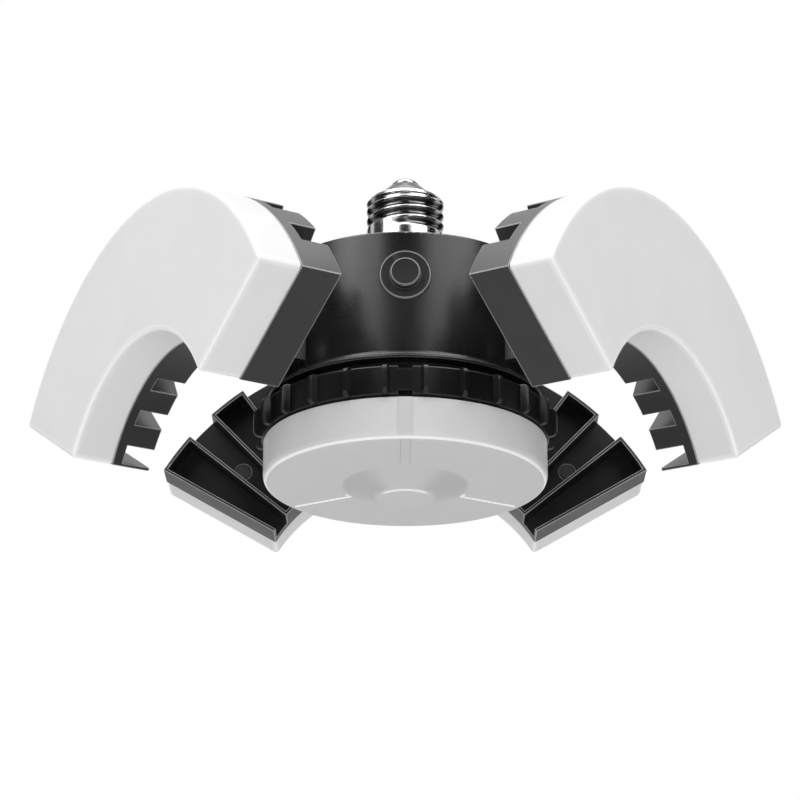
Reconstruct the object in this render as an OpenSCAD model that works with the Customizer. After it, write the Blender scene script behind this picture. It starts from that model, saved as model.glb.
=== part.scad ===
// Ceiling light with a screw base, a round centre light and three hinged light wings.
// Millimetres, +Z up. The origin is on the lamp axis, in the plane where the screw
// shell's plain skirt starts, which is where the lamp is held.
// The three wings are drawn folded up. Their hinges lie level, square to each wing's radius.

/* [Lamp base] */
// Outside radius of the screw shell, on its skirt and on its thread crests
shell_r = 13.2; // [12:0.1:14]
// Height of the plain skirt below the thread
skirt_h = 6.5; // [5:0.5:9]
// Distance from one thread turn to the next
thread_pitch = 3.63; // [3:0.01:4]
// Number of thread turns
thread_turns = 3; // [2:0.25:4]
// Direction in which the thread starts, seen from above
thread_start = 108; // [0:1:359]
// Depth of the rolled thread
thread_depth = 1.05; // [0.6:0.05:1.2]
// Sheet thickness of the screw shell
shell_wall = 0.5; // [0.4:0.05:0.8]
// Height of the insulator that stands out of the shell
insulator_h = 4.6; // [4:0.2:8]
// Radius of the insulator at its foot
insulator_r = 9.6; // [8:0.1:10]
// Radius of the centre contact
contact_r = 4.8; // [4:0.1:5.5]
// Height of the centre contact above the insulator
contact_h = 2.2; // [1.5:0.1:3.5]

/* [Neck and cover] */
// Height of the neck between the housing's top and the screw shell
neck_h = 9.9; // [8:0.1:20]
// Radius of the neck at its top
neck_top_r = 15.2; // [14.5:0.1:18]
// Radius of the neck at its foot
neck_foot_r = 20; // [18:0.5:26]
// Radius of the wire way through the neck
wire_way_r = 9; // [7:0.5:10]
// Thickness of the cover plate that closes the housing
cover_t = 2.4; // [2:0.2:4]
// Width of the ledge that the cover sits on
cover_ledge = 0.9; // [0.6:0.1:1.4]

/* [Housing] */
// Outside radius of the housing
housing_r = 44; // [42:0.5:47]
// Height of the housing, from the flange's underside to its top
housing_h = 44.6; // [40:0.1:60]
// Thickness of the housing's wall
housing_wall = 2.5; // [2:0.1:3.2]
// Thickness of the housing's floor
floor_t = 3; // [2.5:0.1:5]
// How far the flange stands out of the housing's wall
flange_out = 2; // [1:0.1:3]
// Thickness of the flange's lip
flange_t = 1; // [0.8:0.1:3]
// Radius of the hollow curve from the flange to the wall
flange_fillet = 2.25; // [2:0.25:6]
// Radius of the pillars that the cover is screwed to
pillar_r = 3.6; // [3:0.1:4.5]

/* [Centre light] */
// Radius of the centre diffuser
puck_r = 47.1; // [44:0.1:48]
// Height of the centre diffuser's side
puck_h = 14.2; // [10:0.2:20]
// Wall of the centre diffuser
puck_wall = 1.8; // [1.4:0.1:2.6]
// Rounding between the diffuser's side and its face
puck_edge = 3.2; // [2.6:0.1:4]
// Radius of the raised cone in the middle, at its foot
cone_foot_r = 21; // [16:0.5:26]
// Radius of the raised cone at its tip
cone_tip_r = 9; // [6:0.5:12]
// Height of the raised cone
cone_h = 4.4; // [2:0.1:6]
// Width of the three grooves in the face
groove_w = 3.3; // [2:0.1:5]
// Depth of the three grooves
groove_d = 0.5; // [0.2:0.05:0.9]
// How far the three snap fingers stand out of the diffuser's side
finger_out = 0.25; // [0.15:0.05:0.6]

/* [Crown] */
// Radius of the crown over its ridges
crown_r = 50.6; // [49.6:0.1:53]
// Height of the crown
crown_h = 9.8; // [8:0.2:14]
// Gap between the centre diffuser and the crown
crown_gap = 0.6; // [0.3:0.1:1.5]
// Gap between the crown and the housing's flange
shadow_gap = 3.4; // [1.5:0.1:5]
// Rounding of the crown's outer edges
crown_edge = 2.2; // [1:0.1:3]
// Number of ridges round the crown
flute_count = 24; // [12:3:30]
// Depth of the flutes between the ridges
flute_depth = 2.8; // [1:0.1:3.2]
// Width of a ridge
ridge_w = 1.8; // [1:0.1:4]
// Width of the three notches in the crown
notch_w = 4.8; // [3:0.1:8]
// Height of the three notches
notch_h = 1.3; // [0.8:0.1:2.5]
// Thickness of the plate that carries the centre LEDs
carrier_t = 3; // [2:0.1:4]

/* [Button] */
// Height of the button's axis above the lamp's lower face
button_z = 57; // [54:0.5:59]
// Radius of the button
button_r = 4.95; // [4:0.05:6]
// How far the button stands out of its bezel
button_out = 2.6; // [1.5:0.1:4]
// How far the button can be pressed
button_travel = 1.2; // [0.6:0.1:1.4]
// Radius of the bezel
bezel_r = 8.4; // [7.5:0.1:9.5]
// How far the bezel's face stands out of the housing
bezel_out = 0.8; // [0.4:0.1:1.5]
// Clearance round the button in its bezel
button_play = 0.08; // [0.05:0.01:0.1]

/* [Hinge] */
// Distance of each hinge pin from the lamp axis
hinge_r = 60.55; // [60:0.05:62]
// Height of the hinge pins above the lamp's lower face
hinge_z = 38.85; // [38:0.05:42]
// Radius of the hinge eyes
eye_r = 5.7; // [5:0.1:6.5]
// Radius of the hinge pin
pin_r = 2.5; // [2:0.1:3]
// Clearance round the hinge pin
pin_play = 0.05; // [0.02:0.01:0.1]
// Width of the wing's arm between the two ears
arm_w = 10; // [9:0.2:12]
// Thickness of a friction washer
washer_t = 0.6; // [0.4:0.1:1]
// Side clearance between a washer and its ear
side_play = 0.3; // [0.2:0.05:0.5]
// Thickness of an ear on the housing
ear_t = 3.7; // [3:0.1:6]
// Tilt of the wings as drawn: 90 is folded up, 0 is level with the centre light
rest_tilt = 90; // [0:5:90]

/* [Wing] */
// Inner radius of a wing
ring_in = 54.4; // [54:0.1:56]
// Outer radius of a wing
ring_out = 100.6; // [95:0.1:110]
// Distance from a wing's end to the line that halves the gap between two wings
end_gap = 1.1; // [0.6:0.1:2.5]
// Depth of the wing's diffuser
lens_h = 14.3; // [12:0.1:16]
// Wall of the wing's diffuser
lens_wall = 1.8; // [1.4:0.1:2.6]
// Rounding of the wing diffuser's long edges
lens_edge = 1.5; // [1:0.1:1.7]
// Thickness of the heat sink's base plate
plate_t = 4.4; // [3.6:0.1:5.4]
// Height of the heat sink's boxes above its base plate
box_h = 9; // [6:0.2:10]
// Thickness of the boxes' walls
box_wall = 1.2; // [0.8:0.1:1.6]
// Angle between the middles of two boxes
box_pitch = 15.3; // [14.8:0.1:15.3]
// Half width of a box at its open inner end
box_half_in = 4; // [3.2:0.1:4.4]
// Half width of a box at its outer end
box_half_out = 7.35; // [5:0.05:8]
// How far the boxes' floors are sunk into the base plate
floor_sink = 0.8; // [0.2:0.1:1.2]
// Distance of the wing screws from the wing's centre of curvature
screw_ring_r = 79.2; // [76:0.2:84]
// Radius of the holes that the wing screws sink into
sink_r = 2.9; // [2.7:0.1:3.4]

/* [Electrics] */
// Thickness of the circuit boards
board_t = 1.2; // [1:0.1:1.6]
// Distance between two LED chips in a row
led_pitch = 12; // [10:0.5:20]
// Height of the driver board above the housing's floor
driver_lift = 5; // [4:0.5:7]
// Radius of the driver board
driver_r = 33; // [30:0.5:34]
// Radius of the screws' shanks
screw_r = 1.5; // [1.2:0.1:1.7]

/* [Hidden] */
$fn = 96;

// Azimuths of the back, left and right wings
BACK = 90;
LEFT = 210;
RIGHT = 330;
AZIMUTHS = [BACK, LEFT, RIGHT];
wing_count = len(AZIMUTHS);
span = 360 / wing_count;
// Azimuths halfway between the wings. The last one is the front, with the button.
BETWEEN = [for (a = AZIMUTHS) a - span / 2];
FRONT = 270;
// The cover's pillars and the driver board's standoffs keep clear of the wings' lead ways
way_clearance_angle = 25;
PILLARS = [for (a = AZIMUTHS) a + way_clearance_angle];
STANDOFFS = [for (a = AZIMUTHS) a - way_clearance_angle];

// A cut runs this far past the face it opens
past = 0.5;
// Clearance between pieces that are put together by hand
loose = 0.1;
// Clearance round a screw's shank in its hole
screw_play = 0.05;
// How far a screw's head stands out past its shank, how high it is, and how much of
// it stays above the hole that it sinks into
screw_head_rim = 1.1;
screw_head_r = screw_r + screw_head_rim;
screw_head_h = 1.8;
head_proud = 0.2;
// The diffuser's snap fingers end below the crown's notches
finger_w = notch_w - 4 * loose;
finger_t = 1.2;
// Clearance between the centre diffuser's spigot and the crown
spigot_play = 0.4;

// Heights above the lamp's lower face
crown_z = puck_h + crown_gap;
flange_z = crown_z + crown_h + shadow_gap;
floor_z = flange_z + floor_t;
housing_top_z = flange_z + housing_h;
mount_z = housing_top_z + neck_h;
cover_z = housing_top_z - cover_t;
driver_z = floor_z + driver_lift;
driver_top_z = driver_z + board_t;
carrier_recess = 2.4;
carrier_z = crown_z + carrier_recess;
bore_r = housing_r - housing_wall;
cover_r = bore_r + cover_ledge - loose;
pillar_ring_r = bore_r - pillar_r + past;
standoff_r = 3.2;
standoff_inset = 5;
standoff_ring_r = driver_r - standoff_inset;
// What is left under a standoff's screw
standoff_floor_t = 2.2;
crown_screw_ring_r = 26;
cover_screw_length = 10;

// Ways for the leads from the driver to the wings and to the centre light
lead_way_r = 2;
centre_way_r = 5;
lead_r = 0.9;

// Screw shell. The thread starts this share of a turn above the skirt, and the plain
// core takes that share and its run-out above the thread besides the turns.
thread_start_share = 0.3;
thread_spare_share = 0.5;
thread_z = skirt_h + thread_start_share * thread_pitch;
thread_h = (thread_turns + thread_spare_share) * thread_pitch;
shoulder_h = 1.2;
skirt_chamfer = 0.6;
shell_h = skirt_h + thread_h + shoulder_h;
core_r = shell_r - thread_depth;
thread_steps = 24;
ridge_base_r = core_r - shell_wall / 2;

// Button, from the housing's front outwards
bezel_seat_d = 0.9;
bezel_seat_y = housing_r - bezel_seat_d;
bezel_y = housing_r + bezel_out;
bezel_t = bezel_y - bezel_seat_y;
stub_wall = 1.9;
stub_r = button_r + stub_wall;
stub_past_wall = 1;
stub_end_y = bore_r - stub_past_wall;
// The collar keeps this far from the stub, and so does the stem from the pressed plunger
press_gap = 0.2;
collar_t = 1;
collar_rim = 0.9;
collar_r = button_r + collar_rim;
collar_y = stub_end_y - press_gap;
stem_r = 2.2;
stem_l = 1.2;
stem_end_y = collar_y - collar_t - stem_l;
plunger_y = stem_end_y - button_travel - press_gap;
switch_d = 3.4;
switch_w = 6.2;
plunger_r = 1.7;
plunger_h = 0.9;
switch_board_y = plunger_y - plunger_h - switch_d;

// Hinge
arm_half = arm_w / 2;
ear_in = arm_half + washer_t + side_play;
ear_out = ear_in + ear_t;
// How far the ears' roots reach into the housing's wall
ear_bite = housing_wall / 3;
ear_root = sqrt(pow(housing_r, 2) - pow(ear_out, 2)) - ear_bite;
washer_inset = 0.5;
washer_r = eye_r - washer_inset;
bolt_head_r = 4.4;
bolt_head_h = 2.6;
nut_r = 4.7;
nut_h = 3.4;
thread_end = 1;

// Wing: radius outwards, tangent sideways, depth behind the lit face
plate_z = lens_h + plate_t;
rim_z = plate_z + box_h;
board_step = 0.4;
pocket_d = board_t + board_step;
board_back_z = lens_h + pocket_d;
board_front_z = board_back_z - board_t;
board_inset = 1.4;
board_margin = lens_wall + board_inset;
boxes_per_side = 4;
box_first = span / 2 - end_gap / ring_out * 180 / PI - asin(box_half_out / ring_out)
  - (boxes_per_side - 1) * box_pitch;
screw_angles = [
  for (side = [-1, 1])
    for (gap = [0, 2])
      side * (box_first + (gap + 0.5) * box_pitch)
];
arm_foot_l = 23;
arm_foot_r = hinge_r + arm_foot_l;
// Where the arm's sloping edge touches the eye
foot_dx = arm_foot_r - hinge_r;
foot_dz = plate_z - hinge_z;
touch_angle = atan2(foot_dz, foot_dx) + acos(eye_r / norm([foot_dx, foot_dz]));
led_row_shares = [0.17, 0.36, 0.68, 0.86];
led_rows = [for (share = led_row_shares) ring_in + share * (ring_out - ring_in)];
led_size = [2.8, 3.5, 0.7];

BLACK = [0.09, 0.09, 0.095];
DEEP_BLACK = [0.05, 0.05, 0.055];
FROSTED = [0.93, 0.94, 0.95];
NICKEL = [0.75, 0.76, 0.78];
STEEL = [0.6, 0.61, 0.63];
BRASS = [0.8, 0.66, 0.38];
BOARD_WHITE = [0.88, 0.89, 0.88];
BOARD_GREEN = [0.1, 0.32, 0.2];
PHOSPHOR = [0.95, 0.82, 0.3];

// ---------- Helpers ----------

// Puts its children at a height above the lamp's lower face
module above_face(z) {
  translate([0, 0, z - mount_z])
    children();
}

// Puts its children on a wing, whose own origin is its centre of curvature on the lit face
module on_wing(azimuth) {
  rotate([0, 0, azimuth])
    above_face(hinge_z)
      translate([hinge_r, 0, 0])
        rotate([0, -rest_tilt, 0])
          translate([-hinge_r, 0, -hinge_z])
            children();
}

// Puts its children at each azimuth of a list, at a distance from the axis
module around(azimuths, distance) {
  for (azimuth = azimuths)
    rotate([0, 0, azimuth])
      translate([distance, 0, 0])
        children();
}

module ring(outer, inner, height) {
  difference() {
    cylinder(r = outer, h = height);
    translate([0, 0, -past])
      cylinder(r = inner, h = height + 2 * past);
  }
}

// A wing's share of the round plan, drawn in at its outer arc and at its ends
module wing_sector(margin) {
  apex = (end_gap + margin) / sin(span / 2);
  reach = 3 * ring_out;
  far = [reach * cos(span / 2), reach * sin(span / 2)];
  intersection() {
    circle(r = ring_out - margin);
    polygon([[apex, 0], [apex + far.x, -far.y], [apex + far.x, far.y]]);
  }
}

// The plan of a wing, drawn in on all sides by a margin
module wing_plan(margin) {
  difference() {
    wing_sector(margin);
    circle(r = ring_in + margin);
  }
}

// A pan-head screw with its head at the origin and its shank towards +Z
module screw(length) {
  translate([0, 0, -screw_head_h])
    cylinder(r = screw_head_r, h = screw_head_h);
  cylinder(r = screw_r, h = length);
}

// ---------- Lamp base ----------

// Outline of the rolled thread: share of its depth, and height as a share of a turn
ridge_shape = [[0, -0.46], [0.33, -0.36], [1, -0.14], [1, 0.14], [0.33, 0.36], [0, 0.46]];
// At both ends the thread runs out over this many steps, down to a share of its depth
fade_steps = 6;
least_fade = 0.05;

function ridge_fade(step, last) =
  max(least_fade, min(1, step / fade_steps, (last - step) / fade_steps));

function ridge_point(step, last, corner) =
  let (
    turn = thread_start + 360 * step / thread_steps,
    out = corner.x * ridge_fade(step, last),
    radius = ridge_base_r + out * (shell_r - ridge_base_r),
    height = thread_z + thread_pitch * (step / thread_steps + corner.y)
  )
  [radius * cos(turn), radius * sin(turn), height];

module thread_ridge() {
  last = round(thread_turns * thread_steps);
  corners = len(ridge_shape);
  points = [
    for (step = [0 : last])
      for (corner = ridge_shape)
        ridge_point(step, last, corner)
  ];
  sides = [
    for (step = [0 : last - 1])
      for (c = [0 : corners - 1])
        let (next = (c + 1) % corners)
        let (a = step * corners + c, b = step * corners + next)
        each [[a, b, b + corners], [a, b + corners, a + corners]]
  ];
  first_cap = [for (c = [corners - 1 : -1 : 0]) c];
  last_cap = [for (c = [0 : corners - 1]) last * corners + c];
  polyhedron(points = points, faces = concat(sides, [first_cap, last_cap]));
}

module screw_shell() {
  color(NICKEL) {
    thread_ridge();
    rotate_extrude()
      polygon([
        [shell_r - shell_wall, 0],
        [shell_r, 0],
        [shell_r, skirt_h - skirt_chamfer],
        [core_r, skirt_h],
        [core_r, skirt_h + thread_h],
        [insulator_r, shell_h],
        [insulator_r, shell_h - shell_wall],
        [core_r - shell_wall, skirt_h + thread_h - shell_wall / 2],
        [core_r - shell_wall, skirt_h - shell_wall],
        [shell_r - shell_wall, skirt_h - skirt_chamfer - shell_wall],
      ]);
  }
}

// Glass plug that closes the shell, with the live lead's way through it
module contact_insulator() {
  plug_bevel = [1.4, 1.8];
  plug_wall_h = 1.2;
  plug_z = shell_h - shell_wall - plug_wall_h - plug_bevel.y;
  rim_h = 0.4;
  rim_bevel = [0.8, 1];
  contact_land = 0.6;
  top_z = shell_h + insulator_h;
  color(DEEP_BLACK)
    difference() {
      rotate_extrude()
        polygon([
          [0, plug_z],
          [insulator_r - plug_bevel.x, plug_z],
          [insulator_r - loose, plug_z + plug_bevel.y],
          [insulator_r - loose, shell_h + rim_h],
          [insulator_r - rim_bevel.x, shell_h + rim_h + rim_bevel.y],
          [contact_r + contact_land, top_z],
          [0, top_z],
        ]);
      translate([0, 0, plug_z - past])
        cylinder(r = lead_r + loose, h = top_z - plug_z + 2 * past);
    }
}

module centre_contact() {
  rim_h = 0.8;
  slope_w = 1.4;
  color(NICKEL)
    translate([0, 0, shell_h + insulator_h])
      rotate_extrude()
        polygon([
          [0, 0],
          [contact_r, 0],
          [contact_r, rim_h],
          [contact_r - slope_w, contact_h],
          [0, contact_h],
        ]);
}

// From the driver board straight up to the centre contact
module live_lead() {
  bottom = driver_top_z - mount_z;
  color("firebrick")
    translate([0, 0, bottom])
      cylinder(r = lead_r, h = shell_h + insulator_h - bottom);
}

// From the driver board up and over to the inside of the screw shell
module neutral_lead() {
  offset_x = wire_way_r - 2 * lead_r;
  bottom = driver_top_z - mount_z;
  bend_z = skirt_h + 2 * lead_r;
  wall_gap = 0.4;
  color("whitesmoke") {
    translate([offset_x, 0, bottom])
      cylinder(r = lead_r, h = bend_z - bottom);
    translate([offset_x, 0, bend_z])
      sphere(r = lead_r);
    translate([offset_x, 0, bend_z])
      rotate([0, 90, 0])
        cylinder(r = lead_r, h = core_r - shell_wall - wall_gap - offset_x);
  }
}

// ---------- Neck and cover ----------

module top_cover() {
  spigot_r = shell_r - shell_wall - loose;
  spigot_below_thread = 2;
  spigot_h = skirt_h - spigot_below_thread;
  color(BLACK)
    difference() {
      union() {
        above_face(cover_z)
          cylinder(r = cover_r, h = cover_t);
        above_face(housing_top_z)
          cylinder(r1 = neck_foot_r, r2 = neck_top_r, h = neck_h);
        cylinder(r = spigot_r, h = spigot_h);
      }
      above_face(cover_z - past)
        cylinder(r = wire_way_r, h = cover_t + neck_h + skirt_h + 2 * past);
      above_face(cover_z)
        around(PILLARS, pillar_ring_r) {
          translate([0, 0, -past])
            cylinder(r = screw_r + screw_play, h = cover_t + 2 * past);
          translate([0, 0, cover_t - screw_head_h + head_proud])
            cylinder(r = screw_head_r + loose, h = screw_head_h);
        }
    }
}

module cover_screws() {
  color(STEEL)
    above_face(housing_top_z - screw_head_h + head_proud)
      around(PILLARS, pillar_ring_r)
        mirror([0, 0, 1])
          screw(cover_screw_length);
}

// ---------- Housing ----------

module housing_outline() {
  flange_r = housing_r + flange_out;
  fillet_z = flange_t + flange_fillet;
  chamfer = 0.8;
  difference() {
    union() {
      square([flange_r, flange_t]);
      square([housing_r, housing_h - chamfer]);
      square([housing_r - chamfer, housing_h]);
      translate([housing_r, flange_t])
        square([flange_out - past, flange_fillet]);
      translate([housing_r - chamfer, housing_h - chamfer])
        circle(r = chamfer);
    }
    translate([housing_r + flange_fillet, fillet_z])
      circle(r = flange_fillet);
    translate([housing_r, fillet_z])
      square([flange_out + past, past]);
  }
}

// One ear on each side of a wing's arm
module hinge_ears() {
  for (side = [-1, 1])
    translate([0, side * (ear_in + ear_t / 2), 0])
      rotate([90, 0, 0])
        linear_extrude(height = ear_t, center = true) {
          translate([ear_root, -eye_r])
            square([hinge_r - ear_root, 2 * eye_r]);
          translate([hinge_r, 0])
            circle(r = eye_r);
        }
}

module pin_bore(length) {
  rotate([90, 0, 0])
    cylinder(r = pin_r + pin_play, h = length, center = true);
}

module housing() {
  color(BLACK)
    difference() {
      union() {
        above_face(flange_z)
          difference() {
            rotate_extrude()
              housing_outline();
            translate([0, 0, floor_t])
              cylinder(r = bore_r, h = housing_h);
          }
        above_face(floor_z - past)
          around(PILLARS, pillar_ring_r)
            cylinder(r = pillar_r, h = cover_z - floor_z + past);
        above_face(floor_z - past)
          around(STANDOFFS, standoff_ring_r)
            cylinder(r = standoff_r, h = driver_lift + past);
        for (azimuth = AZIMUTHS)
          rotate([0, 0, azimuth])
            above_face(hinge_z)
              hinge_ears();
      }
      above_face(cover_z)
        cylinder(r = bore_r + cover_ledge, h = cover_t + past);
      above_face(cover_z - cover_screw_length)
        around(PILLARS, pillar_ring_r)
          cylinder(r = screw_r + screw_play, h = cover_screw_length + past);
      above_face(floor_z)
        around(STANDOFFS, standoff_ring_r)
          cylinder(r = screw_r + screw_play, h = driver_lift + past);
      above_face(flange_z - past)
        cylinder(r = centre_way_r, h = floor_t + 2 * past);
      above_face(flange_z - past)
        around(AZIMUTHS, crown_screw_ring_r)
          cylinder(r = screw_r + screw_play, h = floor_t + 2 * past);
      above_face(hinge_z)
        around(AZIMUTHS, hinge_r)
          pin_bore(2 * ear_out + 2 * past);
      above_face(hinge_z)
        around(AZIMUTHS, housing_r)
          rotate([0, 90, 0])
            cylinder(r = lead_way_r, h = 4 * housing_wall, center = true);
      above_face(button_z)
        rotate([0, 0, FRONT])
          rotate([0, 90, 0]) {
            cylinder(r = stub_r + loose, h = housing_r + past);
            translate([0, 0, bezel_seat_y])
              cylinder(r = bezel_r + loose, h = bezel_t);
          }
    }
}

// ---------- Driver ----------

module driver_board() {
  color(BOARD_GREEN)
    above_face(driver_z)
      difference() {
        cylinder(r = driver_r, h = board_t);
        translate([0, 0, -past])
          around(STANDOFFS, standoff_ring_r)
            cylinder(r = screw_r + screw_play, h = board_t + 2 * past);
      }
}

module board_screws() {
  color(STEEL)
    above_face(driver_top_z)
      around(STANDOFFS, standoff_ring_r)
        mirror([0, 0, 1])
          screw(driver_lift + board_t - standoff_floor_t);
}

// Laminated core with its winding, standing on the driver board
module transformer() {
  core = [20, 17, 5];
  winding_r = 8;
  winding_h = 9;
  place = [-13, 2, 0];
  color("darkgoldenrod")
    above_face(driver_top_z)
      translate(place) {
        translate([-core.x / 2, -core.y / 2, 0])
          cube(core);
        translate([0, 0, core.z])
          cylinder(r = winding_r, h = winding_h);
        translate([-core.x / 2, -core.y / 2, core.z + winding_h])
          cube(core);
      }
}

module capacitors() {
  can_r = 6.5;
  can_h = 20;
  places = [[11.5, 7, 0], [25, 4, 0]];
  color("midnightblue")
    above_face(driver_top_z)
      for (place = places)
        translate(place)
          cylinder(r = can_r, h = can_h);
}

module rectifier() {
  size = [15, 3.6, 11];
  place = [4, 18, 0];
  color(DEEP_BLACK)
    above_face(driver_top_z)
      translate(place)
        cube(size);
}

// Ring core choke, lying on the driver board
module inductor() {
  tube_r = 3;
  ring_r = 6.5;
  place = [6, -14, 0];
  color("peru")
    above_face(driver_top_z + tube_r)
      translate(place)
        rotate_extrude()
          translate([ring_r, 0])
            circle(r = tube_r);
}

// One socket for each wing's lead, on the edge of the driver board
module wing_connectors() {
  size = [5, 8, 6];
  edge_inset = 1;
  color(BOARD_WHITE)
    above_face(driver_top_z)
      around(AZIMUTHS, driver_r - size.x - edge_inset)
        translate([0, -size.y / 2, 0])
          cube(size);
}

// ---------- Button ----------

// Small upright board behind the button
module switch_board() {
  width = 12;
  above_button = 6;
  top = button_z + above_button;
  color(BOARD_GREEN)
    rotate([0, 0, FRONT])
      above_face(driver_top_z)
        translate([switch_board_y - board_t, -width / 2, 0])
          cube([board_t, width, top - driver_top_z]);
}

module button_switch() {
  color(DEEP_BLACK)
    rotate([0, 0, FRONT])
      above_face(button_z)
        translate([switch_board_y, 0, 0])
          rotate([0, 90, 0]) {
            translate([-switch_w / 2, -switch_w / 2, 0])
              cube([switch_w, switch_w, switch_d]);
            cylinder(r = plunger_r, h = switch_d + plunger_h);
          }
}

module button_bezel() {
  edge = 0.35;
  color(BLACK)
    rotate([0, 0, FRONT])
      above_face(button_z)
        rotate([0, 90, 0])
          difference() {
            union() {
              translate([0, 0, bezel_seat_y])
                cylinder(r = bezel_r, h = bezel_t - edge);
              translate([0, 0, bezel_y - edge])
                cylinder(r1 = bezel_r, r2 = bezel_r - edge, h = edge);
              translate([0, 0, stub_end_y])
                cylinder(r = stub_r, h = bezel_y - stub_end_y - edge);
            }
            translate([0, 0, stub_end_y - past])
              cylinder(r = button_r + button_play, h = bezel_y - stub_end_y + 2 * past);
          }
}

// The button slides in the bezel, and its collar keeps it from falling out
module button_cap() {
  edge = 0.4;
  head_y = bezel_y + button_out;
  color(BLACK)
    rotate([0, 0, FRONT])
      above_face(button_z)
        rotate([0, 90, 0]) {
          translate([0, 0, collar_y])
            cylinder(r = button_r, h = head_y - collar_y - edge);
          translate([0, 0, head_y - edge])
            cylinder(r1 = button_r, r2 = button_r - edge, h = edge);
          translate([0, 0, collar_y - collar_t])
            cylinder(r = collar_r, h = collar_t);
          translate([0, 0, stem_end_y])
            cylinder(r = stem_r, h = collar_y - stem_end_y);
        }
}

// ---------- Crown ----------

// Outline of the crown's ring, with rounded outer corners
module crown_outline() {
  square([crown_r - crown_edge, crown_h]);
  translate([0, crown_edge])
    square([crown_r, crown_h - 2 * crown_edge]);
  for (z = [crown_edge, crown_h - crown_edge])
    translate([crown_r - crown_edge, z])
      circle(r = crown_edge);
}

// All that is cut away between the ridges, with a flute's middle at the front
module flute_cutter() {
  pitch = 360 / flute_count;
  translate([0, 0, -past])
    linear_extrude(height = crown_h + 2 * past)
      difference() {
        circle(r = crown_r + past);
        circle(r = crown_r - flute_depth);
        for (i = [0 : flute_count - 1])
          rotate(FRONT + (i + 0.5) * pitch)
            translate([0, -ridge_w / 2])
              square([crown_r + 2 * past, ridge_w]);
      }
}

// Heat sink of the centre light: fluted ring, carrier plate, and the hub up to the housing
module crown() {
  ring_in_r = puck_r - puck_wall - spigot_play;
  hub_inset = 3;
  hub_r = housing_r - hub_inset;
  hub_wall = 3.5;
  carrier_top = carrier_z + carrier_t;
  notch_floor_r = puck_r - finger_t - 2 * loose;
  color(DEEP_BLACK)
    difference() {
      union() {
        above_face(crown_z)
          difference() {
            rotate_extrude()
              crown_outline();
            flute_cutter();
          }
        above_face(carrier_top - past)
          cylinder(r = hub_r, h = flange_z - carrier_top + past);
      }
      above_face(crown_z - past)
        cylinder(r = ring_in_r, h = carrier_z - crown_z + past);
      above_face(carrier_top)
        cylinder(r = hub_r - hub_wall, h = flange_z - carrier_top + past);
      above_face(carrier_z - past)
        cylinder(r = centre_way_r, h = carrier_t + 2 * past);
      above_face(carrier_z - past)
        around(AZIMUTHS, crown_screw_ring_r)
          cylinder(r = screw_r + screw_play, h = carrier_t + 2 * past);
      above_face(carrier_z - past)
        around(AZIMUTHS, crown_screw_ring_r)
          cylinder(r = screw_head_r + loose, h = screw_head_h + past);
      above_face(carrier_z - past)
        around(BETWEEN, crown_screw_ring_r)
          cylinder(r = screw_r + screw_play, h = carrier_t + 2 * past);
      // Notches below and above
      for (z = [crown_z - past, crown_z + crown_h - notch_h])
        above_face(z)
          around(BETWEEN, notch_floor_r)
            translate([0, -notch_w / 2, 0])
              cube([crown_r - notch_floor_r + past, notch_w, notch_h + past]);
    }
}

// They join the crown to the housing's floor, with their heads sunk above the LED board
module crown_screws() {
  color(STEEL)
    above_face(carrier_z + screw_head_h)
      around(AZIMUTHS, crown_screw_ring_r)
        screw(flange_z + floor_t - carrier_z - screw_head_h);
}

// ---------- Centre light ----------

module centre_led_board() {
  board_inset = 4.5;
  color(BOARD_WHITE)
    above_face(carrier_z - board_t)
      difference() {
        cylinder(r = puck_r - puck_wall - board_inset, h = board_t);
        translate([0, 0, -past])
          cylinder(r = centre_way_r, h = board_t + 2 * past);
        translate([0, 0, -past])
          around(BETWEEN, crown_screw_ring_r)
            cylinder(r = screw_r + screw_play, h = board_t + 2 * past);
      }
}

module centre_leds() {
  rows = [[14, 6], [33, 18]];
  color(PHOSPHOR)
    above_face(carrier_z - board_t - led_size.z)
      for (row = rows)
        for (i = [0 : row[1] - 1])
          rotate([0, 0, (i + 0.5) * 360 / row[1]])
            translate([row[0] - led_size.x / 2, -led_size.y / 2, 0])
              cube(led_size);
}

module led_board_screws() {
  color(STEEL)
    above_face(carrier_z - board_t)
      around(BETWEEN, crown_screw_ring_r)
        screw(board_t + carrier_t);
}

// Outside of the centre diffuser, turned: face, rounded edge, side and raised cone
module puck_outline(shrink) {
  side_r = puck_r - shrink;
  edge = puck_edge - shrink;
  slope = (cone_foot_r - cone_tip_r) / cone_h;
  translate([0, shrink])
    square([side_r - edge, puck_h - shrink]);
  translate([0, puck_edge])
    square([side_r, puck_h - puck_edge]);
  translate([side_r - edge, puck_edge])
    circle(r = edge);
  polygon([
    [0, shrink - cone_h],
    [cone_tip_r, shrink - cone_h],
    [cone_tip_r + slope * cone_h, shrink],
    [cone_tip_r, puck_h / 2],
    [0, puck_h / 2],
  ]);
}

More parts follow.
